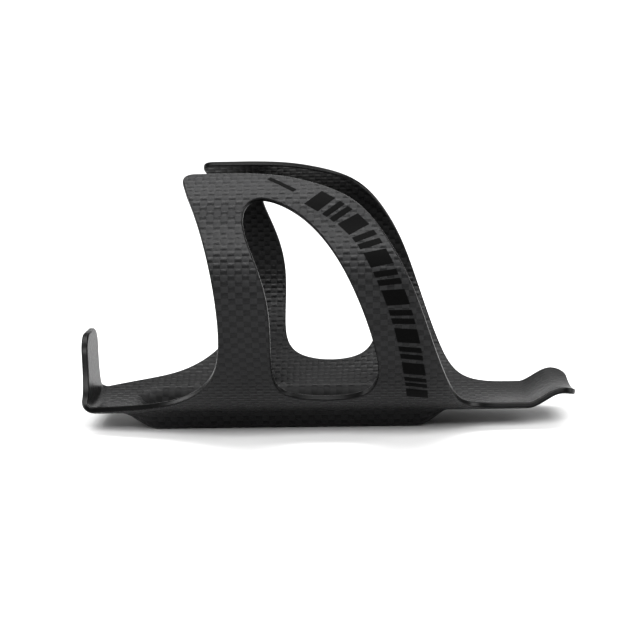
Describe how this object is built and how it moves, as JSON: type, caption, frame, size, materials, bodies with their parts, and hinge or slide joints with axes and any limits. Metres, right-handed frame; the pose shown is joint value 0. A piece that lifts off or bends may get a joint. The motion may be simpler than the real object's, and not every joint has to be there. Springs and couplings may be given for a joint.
{
  "type": "bottle cage",
  "caption": "Moulded carbon bottle cage: a pressed mounting rib, two looped arms that spring round a bottle, a foot tab and a lipped tongue.",
  "frame": {"origin": "middle of the mounting base, between the two bolt slots, on the face that sits on the bicycle frame", "axes": "+X along the bottle from its foot to its mouth, +Z from the bicycle frame into the bottle, Y across, with the cage mirrored about Y = 0"},
  "size_m": [0.1352, 0.0774, 0.0723],
  "materials": {
    "carbon_laminate": "matte clear coat over plain-weave carbon",
    "printed_film": "black gloss print"
  },
  "bodies": {
    "spine": {"mounting_channel": "carbon_laminate", "foot_stop": "carbon_laminate", "neck": "carbon_laminate"},
    "left_arm_body": {"left_arm": "carbon_laminate", "left_arm_graphic": "printed_film"},
    "right_arm_body": {"right_arm": "carbon_laminate", "right_arm_graphic": "printed_film"},
    "tongue_body": {"retaining_tongue": "carbon_laminate"}
  },
  "joints": [
    {"name": "right_arm_flex", "type": "hinge", "parent": "spine", "child": "right_arm_body", "pos_m": [0.003, -0.0132, 0.00603], "axis": [1, 0, 0], "range_deg": [0, 2.5], "stiffness_Nm_per_rad": 2},
    {"name": "left_arm_flex", "type": "hinge", "parent": "spine", "child": "left_arm_body", "pos_m": [0.003, 0.0132, 0.00603], "axis": [-1, 0, 0], "range_deg": [0, 2.5], "stiffness_Nm_per_rad": 2},
    {"name": "tongue_flex", "type": "hinge", "parent": "spine", "child": "tongue_body", "pos_m": [0.05604, 0, 0.0037], "axis": [0, 1, 0], "range_deg": [0, 5], "stiffness_Nm_per_rad": 0.05}
  ]
}
